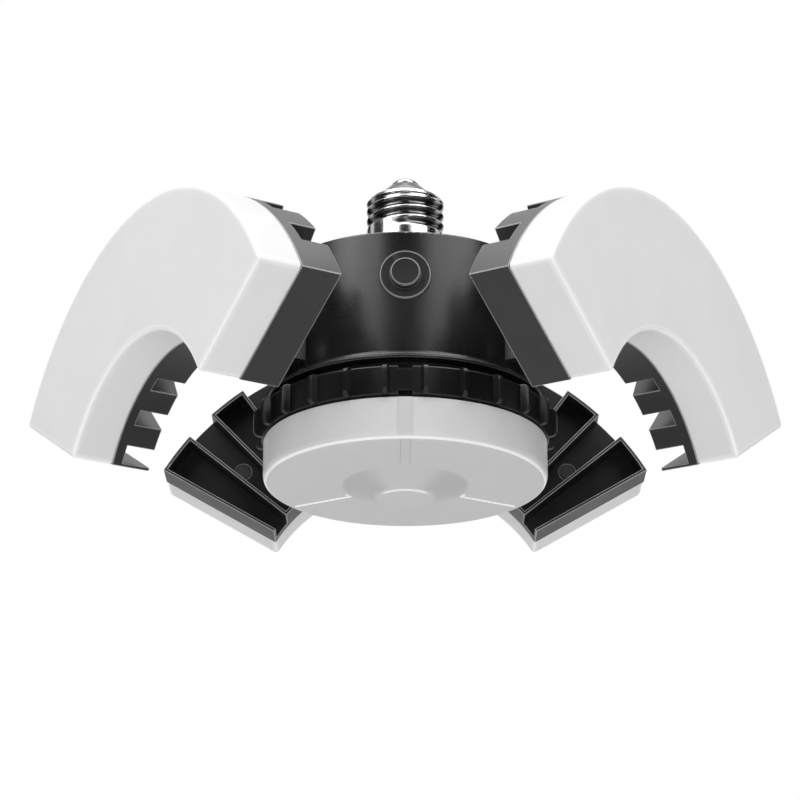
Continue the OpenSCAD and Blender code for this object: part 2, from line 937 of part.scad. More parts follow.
module centre_diffuser() {
  spigot_r = puck_r - puck_wall - 2 * spigot_play;
  spigot_in = 1.6;
  spigot_h = crown_gap + spigot_in;
  spigot_root = 2;
  color(FROSTED)
    above_face(0)
      difference() {
        union() {
          rotate_extrude()
            puck_outline(0);
          translate([0, 0, puck_h - spigot_root])
            ring(spigot_r, spigot_r - puck_wall, spigot_h + spigot_root);
          for (azimuth = BETWEEN)
            rotate([0, 0, azimuth])
              translate([puck_r - finger_t, -finger_w / 2, puck_edge])
                cube([finger_t + finger_out, finger_w, puck_h - puck_edge]);
        }
        for (azimuth = BETWEEN)
          rotate([0, 0, azimuth])
            translate([cone_foot_r, -groove_w / 2, -past])
              cube([puck_r - cone_foot_r, groove_w, groove_d + past]);
        difference() {
          rotate_extrude()
            puck_outline(puck_wall);
          translate([0, 0, puck_h - spigot_root])
            ring(puck_r, spigot_r - puck_wall, 2 * spigot_root);
        }
        translate([0, 0, puck_h - spigot_root])
          cylinder(r = spigot_r - puck_wall, h = spigot_h + spigot_root + past);
      }
}

// ---------- Hinges ----------

module hinge_bolt(azimuth) {
  shank_end = ear_out + nut_h + thread_end;
  color(STEEL)
    rotate([0, 0, azimuth])
      above_face(hinge_z)
        translate([hinge_r, -ear_out, 0])
          rotate([-90, 0, 0]) {
            cylinder(r = pin_r, h = ear_out + shank_end);
            translate([0, 0, -bolt_head_h])
              cylinder(r = bolt_head_r, h = bolt_head_h);
          }
}

module hinge_nut(azimuth) {
  color(STEEL)
    rotate([0, 0, azimuth])
      above_face(hinge_z)
        translate([hinge_r, ear_out, 0])
          rotate([-90, 0, 0])
            difference() {
              cylinder(r = nut_r, h = nut_h, $fn = 6);
              translate([0, 0, -past])
                cylinder(r = pin_r + pin_play, h = nut_h + 2 * past);
            }
}

// One friction washer on each side of the wing's arm
module washers(azimuth) {
  color(BRASS)
    on_wing(azimuth)
      for (side = [-1, 1])
        translate([hinge_r, side * (arm_half + washer_t / 2), hinge_z])
          rotate([90, 0, 0])
            translate([0, 0, -washer_t / 2])
              ring(washer_r, pin_r + pin_play, washer_t);
}

// ---------- Wings ----------

// Plan of one radial box, drawn in by a margin, with its middle at an angle
module box_plan(angle, margin) {
  slope = (box_half_out - box_half_in) / (ring_out - ring_in);
  overrun = 2;
  near_r = ring_in - overrun;
  far_r = ring_out + overrun;
  near_half = box_half_in - overrun * slope - margin;
  far_half = box_half_out + overrun * slope - margin;
  rotate(angle)
    polygon([[near_r, -near_half], [far_r, -far_half], [far_r, far_half], [near_r, near_half]]);
}

// Side view of the arm: an eye round the pin on a foot that tapers along the wing
module arm_outline() {
  foot_z = plate_z - plate_t / 2;
  translate([hinge_r, hinge_z])
    circle(r = eye_r);
  polygon([
    [hinge_r - eye_r, foot_z],
    [hinge_r - eye_r, hinge_z],
    [hinge_r, hinge_z],
    [hinge_r + eye_r * cos(touch_angle), hinge_z + eye_r * sin(touch_angle)],
    [arm_foot_r, plate_z],
    [arm_foot_r, foot_z],
  ]);
}

// Base plate with one wall winding along its back, and the arm that carries the wing.
// The wall goes round each box and along the inner arc from box to box. The boxes are open
// at the inner arc, apart from the two beside the arm.
module heat_sink(azimuth) {
  base_z = plate_z - plate_t / 2;
  color(BLACK)
    on_wing(azimuth)
      difference() {
        union() {
          translate([0, 0, lens_h])
            linear_extrude(height = plate_t)
              wing_plan(0);
          translate([0, 0, base_z])
            linear_extrude(height = rim_z - base_z)
              intersection() {
                wing_plan(0);
                union() {
                  circle(r = ring_in + box_wall);
                  box_plans(0, 0);
                }
              }
          rotate([90, 0, 0])
            linear_extrude(height = arm_w, center = true)
              arm_outline();
        }
        translate([0, 0, plate_z - floor_sink])
          linear_extrude(height = floor_sink + box_h + past) {
            intersection() {
              wing_plan(box_wall);
              box_plans(box_wall, 0);
            }
            intersection() {
              wing_sector(box_wall);
              box_plans(box_wall, 1);
            }
          }
        translate([0, 0, lens_h - past])
          linear_extrude(height = pocket_d + past)
            wing_plan(board_margin - loose);
        translate([hinge_r, 0, hinge_z])
          pin_bore(arm_w + 2 * past);
        for (angle = screw_angles)
          rotate([0, 0, angle])
            translate([screw_ring_r, 0, lens_h]) {
              cylinder(r = screw_r + screw_play, h = plate_t + past);
              translate([0, 0, plate_t - screw_head_h + head_proud])
                cylinder(r = sink_r, h = screw_head_h + past);
            }
      }
}

// Plans of the wing's boxes, counted outwards from the arm on each side, from a first one
// on. The last one reaches past the wing's end.
module box_plans(margin, first) {
  for (side = [-1, 1])
    for (i = [first : boxes_per_side - 1])
      box_plan(
        side * (box_first + i * box_pitch),
        i == boxes_per_side - 1 ? margin - end_gap : margin
      );
}

// Turned outline of a wing's diffuser, with its two front edges rounded
module lens_outline(margin, top) {
  least_edge = 0.1;
  edge = max(least_edge, lens_edge - margin);
  inner = ring_in + margin;
  width = ring_out - ring_in - 2 * margin;
  translate([inner, margin + edge])
    square([width, top - margin - edge]);
  translate([inner + edge, margin])
    square([width - 2 * edge, top - margin]);
  for (x = [edge, width - edge])
    translate([inner + x, margin + edge])
      circle(r = edge);
}

module turned_wing(margin, top) {
  intersection() {
    rotate_extrude()
      lens_outline(margin, top);
    translate([0, 0, -past])
      linear_extrude(height = top + 2 * past)
        wing_plan(margin);
  }
}

// Open tray of frosted plastic, with a boss for each screw
module wing_diffuser(azimuth) {
  boss_wall = 1.4;
  boss_floor_t = 1;
  boss_r = screw_r + boss_wall;
  color(FROSTED)
    on_wing(azimuth)
      difference() {
        union() {
          difference() {
            turned_wing(0, lens_h);
            turned_wing(lens_wall, lens_h + past);
          }
          for (angle = screw_angles)
            rotate([0, 0, angle])
              translate([screw_ring_r, 0, lens_wall / 2])
                cylinder(r = boss_r, h = board_front_z - lens_wall / 2);
        }
        for (angle = screw_angles)
          rotate([0, 0, angle])
            translate([screw_ring_r, 0, lens_wall + boss_floor_t])
              cylinder(r = screw_r + screw_play, h = lens_h);
      }
}

module wing_led_board(azimuth) {
  color(BOARD_WHITE)
    on_wing(azimuth)
      translate([0, 0, board_front_z])
        difference() {
          linear_extrude(height = board_t)
            wing_plan(board_margin);
          for (angle = screw_angles)
            rotate([0, 0, angle])
              translate([screw_ring_r, 0, -past])
                cylinder(r = screw_r + screw_play, h = board_t + 2 * past);
        }
}

module wing_leds(azimuth) {
  end_angle = 4.5;
  reach = span / 2 - end_angle;
  color(PHOSPHOR)
    on_wing(azimuth)
      for (row_r = led_rows) {
        count = floor(2 * reach * PI / 180 * row_r / led_pitch);
        for (i = [0 : count - 1])
          rotate([0, 0, reach * (2 * (i + 0.5) / count - 1)])
            translate([row_r - led_size.x / 2, -led_size.y / 2, board_front_z - led_size.z])
              cube(led_size);
      }
}

// They hold the heat sink, the LED board and the diffuser together
module wing_screws(azimuth) {
  head_z = plate_z - screw_head_h + head_proud;
  tip_gap = 2;
  color(STEEL)
    on_wing(azimuth)
      for (angle = screw_angles)
        rotate([0, 0, angle])
          translate([screw_ring_r, 0, head_z])
            mirror([0, 0, 1])
              screw(head_z - lens_wall - tip_gap);
}

// ---------- The light ----------

screw_shell();
contact_insulator();
centre_contact();
live_lead();
neutral_lead();
top_cover();
cover_screws();
housing();
driver_board();
board_screws();
transformer();
capacitors();
rectifier();
inductor();
wing_connectors();
switch_board();
button_switch();
button_bezel();
button_cap();
crown();
crown_screws();
centre_led_board();
centre_leds();
led_board_screws();
centre_diffuser();
hinge_bolt(BACK);  // back_hinge_bolt
hinge_bolt(LEFT);  // left_hinge_bolt
hinge_bolt(RIGHT);  // right_hinge_bolt
hinge_nut(BACK);  // back_hinge_nut
hinge_nut(LEFT);  // left_hinge_nut
hinge_nut(RIGHT);  // right_hinge_nut
heat_sink(BACK);  // back_heat_sink
heat_sink(LEFT);  // left_heat_sink
heat_sink(RIGHT);  // right_heat_sink
wing_diffuser(BACK);  // back_diffuser
wing_diffuser(LEFT);  // left_diffuser
wing_diffuser(RIGHT);  // right_diffuser
wing_led_board(BACK);  // back_led_board
wing_led_board(LEFT);  // left_led_board
wing_led_board(RIGHT);  // right_led_board
wing_leds(BACK);  // back_leds
wing_leds(LEFT);  // left_leds
wing_leds(RIGHT);  // right_leds
wing_screws(BACK);  // back_wing_screws
wing_screws(LEFT);  // left_wing_screws
wing_screws(RIGHT);  // right_wing_screws
washers(BACK);  // back_washers
washers(LEFT);  // left_washers
washers(RIGHT);  // right_washers
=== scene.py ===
"""A ceiling light with a screw base and three folding light wings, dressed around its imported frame.

Everything is in metres in the frame's own axes: +Z up, the origin on the lamp axis at the foot
of the screw shell. The wings are built lying flat, with their centre of curvature at the origin
and their lit face at depth 0, and are then turned up about their hinges as the frame has them.
"""

import math

import bmesh
import bpy
from mathutils import Matrix, Vector


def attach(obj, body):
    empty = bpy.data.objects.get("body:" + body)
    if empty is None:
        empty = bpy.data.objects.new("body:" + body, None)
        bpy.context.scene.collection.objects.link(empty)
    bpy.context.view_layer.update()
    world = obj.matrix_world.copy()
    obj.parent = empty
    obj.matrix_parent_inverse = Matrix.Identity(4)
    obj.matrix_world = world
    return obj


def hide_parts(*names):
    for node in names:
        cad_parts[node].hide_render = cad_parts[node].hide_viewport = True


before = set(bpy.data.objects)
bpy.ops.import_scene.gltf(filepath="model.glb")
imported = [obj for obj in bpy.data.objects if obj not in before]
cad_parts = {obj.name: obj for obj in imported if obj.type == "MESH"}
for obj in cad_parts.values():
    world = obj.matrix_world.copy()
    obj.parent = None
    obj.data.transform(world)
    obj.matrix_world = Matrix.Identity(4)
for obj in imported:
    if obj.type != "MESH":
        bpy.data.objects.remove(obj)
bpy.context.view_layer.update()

MM = 0.001

# Directions of the three wings, and the directions halfway between them
WINGS = {"back": 90, "left": 210, "right": 330}
BETWEEN = [azimuth - 60 for azimuth in WINGS.values()]
FRONT = 270
HALF_SPAN = math.radians(60)

# Wing, with depths from its lit face
RING_IN = 54.4 * MM
RING_OUT = 100.6 * MM
END_GAP = 1.1 * MM
LENS_DEPTH = 14.3 * MM
LENS_WALL = 1.8 * MM
LENS_EDGE = 1.3 * MM
LENS_CORNER = 1.4 * MM
LENS_RIM = 0.3 * MM
ARC_STEPS = 72
CORNER_STEPS = 5
HINGE_R = 60.55 * MM
HINGE_DEPTH = 38.85 * MM
SINK_EDGE = 0.3 * MM

# Centre light, with heights from its lower face
LOWER_FACE = -82.5 * MM
PUCK_R = 47.1 * MM
PUCK_H = 14.2 * MM
PUCK_WALL = 1.8 * MM
PUCK_EDGE = 3.2 * MM
PUCK_STEP = 2.2 * MM
PUCK_COLUMNS = 64
SPIGOT_IN = 0.8 * MM
SPIGOT_H = 2.2 * MM
CONE_FOOT_R = 21 * MM
CONE_TIP_R = 9 * MM
CONE_H = 4.4 * MM
GROOVE_W = 3.3 * MM
GROOVE_D = 0.45 * MM
FINGER_W = 4.4 * MM
FINGER_OUT = 0.25 * MM
FLANK_W = 0.25 * MM
STRIP_HALF_W = 2.75 * MM

# The cup's columns run parallel within this distance of a groove's middle, and as they would
# on a plain cup beyond this angle
PARALLEL_HALF_W = 3.2 * MM
PARALLEL_REACH = math.radians(25)

# Crown and the hub that joins it to the housing
CROWN_R = 50.6 * MM
CROWN_Z = 14.8 * MM
CROWN_H = 9.8 * MM
CROWN_EDGE = 2.2 * MM
CROWN_ROUND_STEPS = 8
CROWN_IN_R = PUCK_R - PUCK_WALL - 0.4 * MM
CROWN_IN_EDGE = 0.3 * MM
RIDGES = 24
FLUTE_DEPTH = 2.8 * MM
RIDGE_TOP_W = 1.24 * MM
RIDGE_FLANK_W = 0.5 * MM
NOTCH_W = 4.8 * MM
NOTCH_H = 1.3 * MM
NOTCH_FLOOR_R = PUCK_R - 1.4 * MM
HUB_R = 41 * MM
HUB_WALL = 3.5 * MM
CARRIER_Z = 17.2 * MM
CARRIER_T = 3 * MM
CARRIER_HOLE_R = 5 * MM
FLANGE_Z = 28 * MM
HOUSING_R = 44 * MM

# How far the crown's wall between two ridges is broken along its lower and upper edge
FLOOR_EDGE = 0.35 * MM

# Screw base
SHELL_R = 13.2 * MM
SHELL_WALL = 0.5 * MM
SHELL_H = 20.4 * MM
SHELL_COLUMNS = 160
SHELL_ROWS = 110
SHOULDER_H = 2.0 * MM
SHOULDER_IN = 0.4 * MM
SHOULDER_STEPS = 8
THREAD_PITCH = 3.63 * MM
THREAD_DEPTH = 1.05 * MM
THREAD_END = 2.2 * MM
THREAD_END_FADE = 1.2 * MM
THREAD_START_TURN = 0.13
GROOVE_START_Z = 7.2 * MM
GROOVE_START_AZIMUTH = 248
INSULATOR_R = 9.6 * MM

# Steps of a rounded corner in a turned outline
ROUND_STEPS = 8

# Vertices closer than this are one
WELD = 0.002 * MM

# Room for rounding where a place is compared with a size
SLACK = 0.05 * MM


# ---------- Mesh helpers ----------

def new_object(name, bm, materials):
    """Puts a finished bmesh into the scene as a smooth-shaded piece."""
    mesh = bpy.data.meshes.new(name)
    bm.to_mesh(mesh)
    bm.free()
    if "custom_normal" in mesh.attributes:
        mesh.attributes.remove(mesh.attributes["custom_normal"])
    for material in materials:
        mesh.materials.append(material)
    for polygon in mesh.polygons:
        polygon.use_smooth = True
    piece = bpy.data.objects.new(name, mesh)
    bpy.context.scene.collection.objects.link(piece)
    return piece


def weight_normals(piece, angle=40):
    """Keeps large flat faces flat beside small rounded edges."""
    for edge in piece.data.edges:
        edge.use_edge_sharp = False
    piece.data.set_sharp_from_angle(angle=math.radians(angle))
    modifier = piece.modifiers.new("face_weighted", "WEIGHTED_NORMAL")
    modifier.keep_sharp = True
    modifier.weight = 100


def finished_copy(node, width, slot, round_finish="painted_edge_highlight"):
    """A copy of a frame node with its outer edges broken by a small round of its own finish; on black
    pieces the round takes a lighter painted highlight.
    """
    flat, sharp = math.radians(0.6), math.radians(32)
    bm = bmesh.new()
    bm.from_mesh(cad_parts[node].data)
    bmesh.ops.remove_doubles(bm, verts=bm.verts, dist=WELD)
    bmesh.ops.dissolve_limit(bm, angle_limit=flat, verts=bm.verts, edges=bm.edges)
    edges = [
        edge for edge in bm.edges
        if edge.is_manifold and edge.is_convex and edge.calc_face_angle() > sharp
    ]
    bmesh.ops.bevel(
        bm, geom=edges, offset=width, offset_type="OFFSET", segments=2, profile=0.5,
        affect="EDGES", clamp_overlap=False, material=1,
    )
    bmesh.ops.triangulate(bm, faces=[face for face in bm.faces if len(face.verts) > 4])
    piece = new_object(node + "_finished", bm, [FINISHES[slot], FINISHES[round_finish]])
    weight_normals(piece)
    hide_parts(node)
    return piece


def bridge_loops(bm, loops, closed=False):
    """Quads between rings of vertices that all have the same count."""
    pairs = list(zip(loops, loops[1:]))
    if closed:
        pairs.append((loops[-1], loops[0]))
    for low, high in pairs:
        count = len(low)
        for i in range(count):
            j = (i + 1) % count
            bm.faces.new((low[i], low[j], high[j], high[i]))


def ring_of(bm, points):
    return [bm.verts.new(point) for point in points]


def turned(radius, angle, z):
    return (radius * math.cos(angle), radius * math.sin(angle), z)


def rounded(corner, before, after, radius):
    """Points of the arc that rounds one corner of an outline."""
    corner, before, after = Vector(corner), Vector(before), Vector(after)
    to_before = (before - corner).normalized()
    to_after = (after - corner).normalized()
    half = to_before.angle(to_after) / 2
    longest = 0.49 * min((before - corner).length, (after - corner).length)
    reach = min(radius / math.tan(half), longest)
    start, end = corner + to_before * reach, corner + to_after * reach
    points = []
    for i in range(ROUND_STEPS + 1):
        t = i / ROUND_STEPS
        points.append(tuple((1 - t) ** 2 * start + 2 * t * (1 - t) * corner + t * t * end))
    return points


def round_outline(corners):
    """Rounds the corners (r, z, radius) of a closed outline. A radius of 0 keeps one as it is."""
    points = [Vector((r, z)) for r, z, _ in corners]
    result = []
    for i, (r, z, radius) in enumerate(corners):
        if radius > 0:
            result += rounded(points[i], points[i - 1], points[(i + 1) % len(points)], radius)
        else:
            result.append(tuple(points[i]))
    return result


def at_height(z):
    return LOWER_FACE + z


def wing_matrix(azimuth):
    """Where a wing that was built lying flat is in the frame, folded up about its hinge."""
    hinge = Matrix.Translation((HINGE_R, 0, at_height(HINGE_DEPTH)))
    fold = Matrix.Rotation(math.radians(-90), 4, "Y")
    back = Matrix.Translation((-HINGE_R, 0, -HINGE_DEPTH))
    return Matrix.Rotation(math.radians(azimuth), 4, "Z") @ hinge @ fold @ back


# ---------- Materials ----------

class Finish:
    """One node material, and short names for the nodes that it is made of."""

    def __init__(self, name, **constants):
        self.material = bpy.data.materials.new(name)
        self.material.use_nodes = True
        self.tree = self.material.node_tree
        self.shader = self.tree.nodes["Principled BSDF"]
        for socket, value in constants.items():
            self.shader.inputs[socket.replace("_", " ")].default_value = value
        self.place = self.tree.nodes.new("ShaderNodeTexCoord").outputs["Object"]

    def link(self, value, socket):
        if isinstance(value, bpy.types.NodeSocket):
            self.tree.links.new(value, socket)
        else:
            socket.default_value = value

    def math(self, operation, a, b=0.0):
        node = self.tree.nodes.new("ShaderNodeMath")
        node.operation = operation
        for socket, value in zip(node.inputs, (a, b)):
            self.link(value, socket)
        return node.outputs[0]

    def product(self, result, *others):
        for value in others:
            result = self.math("MULTIPLY", result, value)
        return result

    def distance_from_axis(self, x, y):
        return self.math("SQRT", self.math("ADD", self.product(x, x), self.product(y, y)))

    def spread(self, value, low, high, to_low=0.0, to_high=1.0):
        """A smooth step from to_low, where the value is low, to to_high, where it is high."""
        node = self.tree.nodes.new("ShaderNodeMapRange")
        node.interpolation_type = "SMOOTHSTEP"
        for socket, number in zip(node.inputs, (value, low, high, to_low, to_high)):
            self.link(number, socket)
        return node.outputs[0]

    def stretched(self, scale):
        node = self.tree.nodes.new("ShaderNodeMapping")
        self.link(self.place, node.inputs["Vector"])
        node.inputs["Scale"].default_value = scale
        return node.outputs[0]

    def noise(self, scale, detail=3.0, roughness=0.5, vector=None):
        node = self.tree.nodes.new("ShaderNodeTexNoise")
        self.link(vector or self.place, node.inputs["Vector"])
        node.inputs["Scale"].default_value = scale
        node.inputs["Detail"].default_value = detail
        node.inputs["Roughness"].default_value = roughness
        return node.outputs["Fac"]

    def metal_grain(self, scale):
        return self.noise(1, 3, 0.6, self.stretched(scale))

    def cells(self, scale):
        node = self.tree.nodes.new("ShaderNodeTexVoronoi")
        self.link(self.place, node.inputs["Vector"])
        node.inputs["Scale"].default_value = scale
        return node.outputs["Distance"]

    def blend(self, factor, first, second):
        node = self.tree.nodes.new("ShaderNodeMix")
        node.data_type = "RGBA"
        self.link(factor, node.inputs["Factor"])
        for socket, colour in ((node.inputs[6], first), (node.inputs[7], second)):
            self.link((*colour, 1) if isinstance(colour, tuple) else colour, socket)
        return node.outputs[2]

    def colour(self, value):
        self.link(value, self.shader.inputs["Base Color"])

    def roughness(self, value):
        self.link(value, self.shader.inputs["Roughness"])

    def glow(self, strength):
        self.shader.inputs["Emission Color"].default_value = (1, 1, 1, 1)
        self.link(strength, self.shader.inputs["Emission Strength"])

    def bump(self, height, distance, strength):
        node = self.tree.nodes.new("ShaderNodeBump")
        node.inputs["Distance"].default_value = distance
        node.inputs["Strength"].default_value = strength
        self.link(height, node.inputs["Height"])
        self.link(node.outputs["Normal"], self.shader.inputs["Normal"])

    def split_place(self):
        node = self.tree.nodes.new("ShaderNodeSeparateXYZ")
        self.link(self.place, node.inputs[0])
        return node.outputs

    def edges(self):
        """How much a spot lies on an outer edge of its mesh."""
        geometry = self.tree.nodes.new("ShaderNodeNewGeometry")
        return self.spread(geometry.outputs["Pointiness"], 0.52, 0.6)


def black_finish(name, colour, rough, level, grain):
    """Black paint or plastic: fine grain, cloudy gloss and edges that are a little worn."""
    wear, worn_colour = 0.05, (0.5, 0.5, 0.5)
    finish = Finish(name, Specular_IOR_Level=level)
    cloud = finish.noise(35, 4)
    speck = finish.noise(grain, 2)
    lighter = tuple(min(1, c * 1.5 + 0.004) for c in colour)
    tone = finish.blend(finish.spread(cloud, 0.3, 0.7), colour, lighter)
    finish.colour(finish.blend(finish.product(finish.edges(), wear), tone, worn_colour))
    gloss = finish.spread(cloud, 0.25, 0.75, rough - 0.04, rough + 0.05)
    finish.roughness(finish.math("ADD", gloss, finish.product(speck, 0.05)))
    finish.bump(speck, 0.012 * MM, 0.5)
    return finish.material


# Scales of the grain of turned and of plated metal along the three axes
TURNED = (300, 300, 2500)
PLATED = (900, 900, 900)


def metal_finish(name, colour, rough, grain_scale):
    """Bright metal with fine grain and faint stains."""
    finish = Finish(name, Metallic=1.0, Specular_IOR_Level=0.5)
    grain = finish.metal_grain(grain_scale)
    stain = finish.noise(120, 4)
    darker = tuple(c * 0.72 for c in colour)
    finish.colour(finish.blend(finish.spread(stain, 0.35, 0.8), colour, darker))
    finish.roughness(finish.spread(grain, 0.3, 0.8, rough - 0.03, rough + 0.07))
    finish.bump(grain, 0.004 * MM, 0.4)
    return finish.material


def shell_finish(name):
    """Bright nickel, with painted shade that makes it dull and dark down in the rolled groove."""
    nickel, stained, groove_shade = (0.56, 0.565, 0.57), (0.42, 0.423, 0.43), (0.05, 0.05, 0.052)
    finish = Finish(name, Metallic=1.0)
    grain = finish.metal_grain(TURNED)
    stain = finish.noise(120, 4)
    x, y, z = finish.split_place()
    radius = finish.distance_from_axis(x, y)
    # Painted shade, darkest where the rolled groove is deepest
    in_groove = finish.product(
        finish.spread(radius, SHELL_R - 0.1 * MM, SHELL_R - 0.75 * MM),
        finish.spread(z, SHELL_H - 2.6 * MM, SHELL_H - 3.6 * MM),
    )
    tone = finish.blend(finish.spread(stain, 0.35, 0.8), nickel, stained)
    finish.colour(finish.blend(finish.product(in_groove, 0.85), tone, groove_shade))
    finish.roughness(finish.spread(grain, 0.3, 0.8, 0.16, 0.25))
    finish.bump(grain, 0.004 * MM, 0.4)
    return finish.material


def milky(name, weight, depth):
    """A finish of milky plastic, before its colour."""
    finish = Finish(
        name, Specular_IOR_Level=0.5, Subsurface_Weight=weight, Subsurface_Radius=(depth,) * 3,
        Subsurface_Scale=1.0,
    )
    finish.bump(finish.noise(3200, 2), 0.006 * MM, 0.4)
    return finish


def frosted_finish(name, on_wing=False):
    """Milky plastic. On a wing's diffuser, painted highlight lines with a faint glow run along its outer
    edges, and painted shade darkens its outer side wall.
    """
    colour, lit = (0.85, 0.85, 0.852), (0.985, 0.985, 0.985)
    finish = milky(name, 0.25, 0.004)
    cloud = finish.noise(28, 3)
    shade = tuple(c * 0.97 for c in colour)
    body = finish.blend(finish.spread(cloud, 0.3, 0.7), colour, shade)
    if on_wing:
        x, y, depth = finish.split_place()
        radius = finish.distance_from_axis(x, y)
        distance = wing_edge_distance(finish, x, y, depth, radius)
        # Painted highlight along the diffuser's edges
        edge_highlight_band = finish.spread(distance, LENS_WALL * 1.15, LENS_WALL * 0.75)
        line = finish.spread(distance, 0.9 * MM, 0.25 * MM)
        # Painted shade on the outer side wall
        outer_wall_shade = finish.product(
            finish.spread(radius, RING_OUT - 0.6 * MM, RING_OUT - 0.2 * MM),
            finish.spread(depth, 1.6 * MM, 2.4 * MM),
        )
        body = finish.blend(outer_wall_shade, body, tuple(c * 0.86 for c in colour))
        light = finish.math("ADD", finish.product(edge_highlight_band, 0.45), finish.product(line, 0.55))
        body = finish.blend(light, body, lit)
        # The painted highlight line also glows faintly
        finish.glow(finish.product(line, 0.12))
    finish.colour(body)
    finish.roughness(finish.spread(finish.noise(60, 3), 0.3, 0.7, 0.36, 0.44))
    return finish.material


def wing_edge_distance(finish, x, y, depth, radius):
    """Distance along the surface to the nearest edge of a wing's diffuser, in its own axes."""
    to_outer = finish.math("SUBTRACT", RING_OUT, radius)
    to_inner = finish.math("SUBTRACT", radius, RING_IN)
    across = finish.product(finish.math("ABSOLUTE", y), math.cos(HALF_SPAN))
    along = finish.product(x, math.sin(HALF_SPAN))
    to_end = finish.math("SUBTRACT", finish.math("SUBTRACT", along, across), END_GAP)
    near_ring = finish.math("MINIMUM", to_outer, to_inner)
    low = finish.math("MAXIMUM", near_ring, finish.math("MINIMUM", to_end, depth))
    high = finish.math("MAXIMUM", to_end, depth)
    return finish.math("MINIMUM", low, high)


def centre_finish(name):
    """Milky plastic of the centre light, with painted light and shade: duller face, lighter side, painted
    shade on the finger strips and the cone's sides, and painted highlights that glow faintly on the rim,
    the cone's tip and the back grooves' walls.
    """
    shaded_face_colour, lit_side_colour = (0.655, 0.655, 0.657), (0.82, 0.82, 0.822)
    shade, strip_shade, lit = (0.4, 0.4, 0.4), (0.45, 0.45, 0.45), (0.99, 0.99, 0.99)
    finish = milky(name, 0.2, 0.003)
    x, y, z = finish.split_place()
    height = finish.math("SUBTRACT", z, LOWER_FACE)
    radius = finish.distance_from_axis(x, y)

    # Painted shade on the face and painted light on the side, slightly cloudy
    on_side = finish.spread(height, 0.9 * MM, 1.3 * MM)
    cloud = finish.spread(finish.noise(28, 3), 0.3, 0.7, 0.0, 0.04)
    body = finish.blend(cloud, finish.blend(on_side, shaded_face_colour, lit_side_colour), shade)

    # Painted shade on strips over the snap fingers
    outside = finish.spread(radius, PUCK_R - 0.5 * MM, PUCK_R - 0.3 * MM)
    strip = 0.0
    for azimuth in BETWEEN:
        cos, sin = math.cos(math.radians(azimuth)), math.sin(math.radians(azimuth))
        along = finish.math("ADD", finish.product(x, cos), finish.product(y, sin))
        across = finish.math("SUBTRACT", finish.product(y, cos), finish.product(x, sin))
        near = finish.spread(finish.math("ABSOLUTE", across), STRIP_HALF_W, STRIP_HALF_W - 0.2 * MM)
        near = finish.product(near, finish.math("GREATER_THAN", along, 0.0))
        strip = finish.math("ADD", strip, finish.product(near, outside))
    body = finish.blend(finish.product(strip, 0.22), body, strip_shade)

    # Painted highlight line round the rim, which also glows faintly
    rim_highlight = finish.product(
        finish.spread(height, GROOVE_D + 0.01 * MM, GROOVE_D + 0.08 * MM),
        finish.spread(height, 1.3 * MM, 1.0 * MM),
        finish.math("GREATER_THAN", radius, 40 * MM),
    )

    # Painted shade on the slope of the cone, darker towards its sides
    aside = finish.math("DIVIDE", finish.math("ABSOLUTE", x), radius)
    cone_side_shade = finish.product(
        finish.spread(radius, CONE_TIP_R, CONE_TIP_R + 2 * MM),
        finish.spread(radius, CONE_FOOT_R + 0.5 * MM, CONE_FOOT_R - 1 * MM),
        finish.spread(aside, 0.35, 0.8, 0.12, 0.5),
    )
    body = finish.blend(cone_side_shade, body, shade)

    # Painted highlight on the front of the edge round the cone's tip
    tip_highlight = finish.product(
        finish.spread(radius, 7.6 * MM, 8.2 * MM),
        finish.spread(radius, 9.6 * MM, 9.1 * MM),
        finish.spread(finish.math("DIVIDE", y, radius), -0.4, -0.8),
    )

    # Painted highlight on the walls of the two grooves that open to the back
    wall = finish.product(
        finish.spread(height, 0.02 * MM, 0.06 * MM),
        finish.spread(height, GROOVE_D - 0.02 * MM, GROOVE_D - 0.06 * MM),
        finish.math("LESS_THAN", radius, PUCK_R - PUCK_EDGE),
        finish.math("GREATER_THAN", radius, CONE_FOOT_R + 0.8 * MM),
        finish.math("GREATER_THAN", y, 0.0),
    )

    # The painted highlights go to white and glow faintly
    light = finish.math("MAXIMUM", finish.product(tip_highlight, 0.7), wall)
    finish.colour(finish.blend(finish.math("MAXIMUM", rim_highlight, light), body, lit))
    finish.glow(finish.math("ADD", finish.product(rim_highlight, 0.09), finish.product(light, 0.2)))
    finish.roughness(finish.spread(finish.noise(60, 3), 0.3, 0.7, 0.3, 0.38))
    return finish.material


def board_finish(name, colour):
    """Circuit board: lacquer over faint tracks."""
    finish = Finish(name, Specular_IOR_Level=0.5)
    tracks = finish.cells(380)
    lacquer = tuple(c * 0.7 for c in colour)
    finish.colour(finish.blend(finish.spread(tracks, 0.3, 0.5), colour, lacquer))
    finish.roughness(finish.spread(finish.noise(90), 0.3, 0.7, 0.28, 0.4))
    finish.bump(tracks, 0.02 * MM, 0.5)
    return finish.material


def moulded_finish(name, colour, rough, grain=900):
    """Plain moulded plastic, sleeve or lacquer, slightly uneven in colour and gloss."""
    finish = Finish(name, Specular_IOR_Level=0.5)
    cloud = finish.noise(140, 4)
    finish.colour(finish.blend(finish.spread(cloud, 0.3, 0.75), colour, tuple(c * 0.78 for c in colour)))
    finish.roughness(finish.spread(cloud, 0.25, 0.75, rough - 0.05, rough + 0.05))
    finish.bump(finish.noise(grain, 2), 0.01 * MM, 0.5)
    return finish.material


